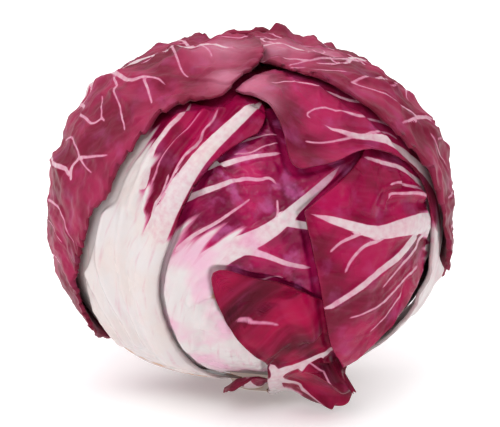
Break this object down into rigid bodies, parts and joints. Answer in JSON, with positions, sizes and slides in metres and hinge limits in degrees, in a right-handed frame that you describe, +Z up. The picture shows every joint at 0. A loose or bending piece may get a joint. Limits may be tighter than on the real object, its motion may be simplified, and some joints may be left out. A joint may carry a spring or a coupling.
{
  "type": "radicchio head",
  "caption": "Round head of red radicchio: tight heart on a cut stem, wrapped in large crimson leaves with white ribs, pale leaf bases and loose, jagged outer leaves.",
  "frame": {"origin": "centre of the stem's cut face, on the surface that the head stands on", "axes": "+Z up from the cut face through the head; -Y towards the side with the ribbed inner leaves, which the picture shows; +X to the right seen from there"},
  "size_m": [0.1277, 0.1225, 0.1135],
  "materials": {
    "stem_and_heart": "moist white stem and heart, the cut face dried to ochre",
    "leaf": "waxy crimson leaf with white ribs and a cream base",
    "outer_leaf": "duller mauve-crimson outer leaf with thin pink veins"
  },
  "bodies": {
    "root": {"heart_and_stem": "stem_and_heart", "crown_leaf": "leaf", "right_base_leaf": "leaf", "centre_leaf": "leaf", "front_left_leaf": "leaf", "low_front_leaf": "leaf", "lower_leaf": "leaf", "right_leaf": "leaf", "upper_right_leaf": "leaf", "back_right_leaf": "outer_leaf", "back_leaf": "outer_leaf", "hood_right_leaf": "outer_leaf", "hood_left_leaf": "outer_leaf"}
  },
  "joints": []
}
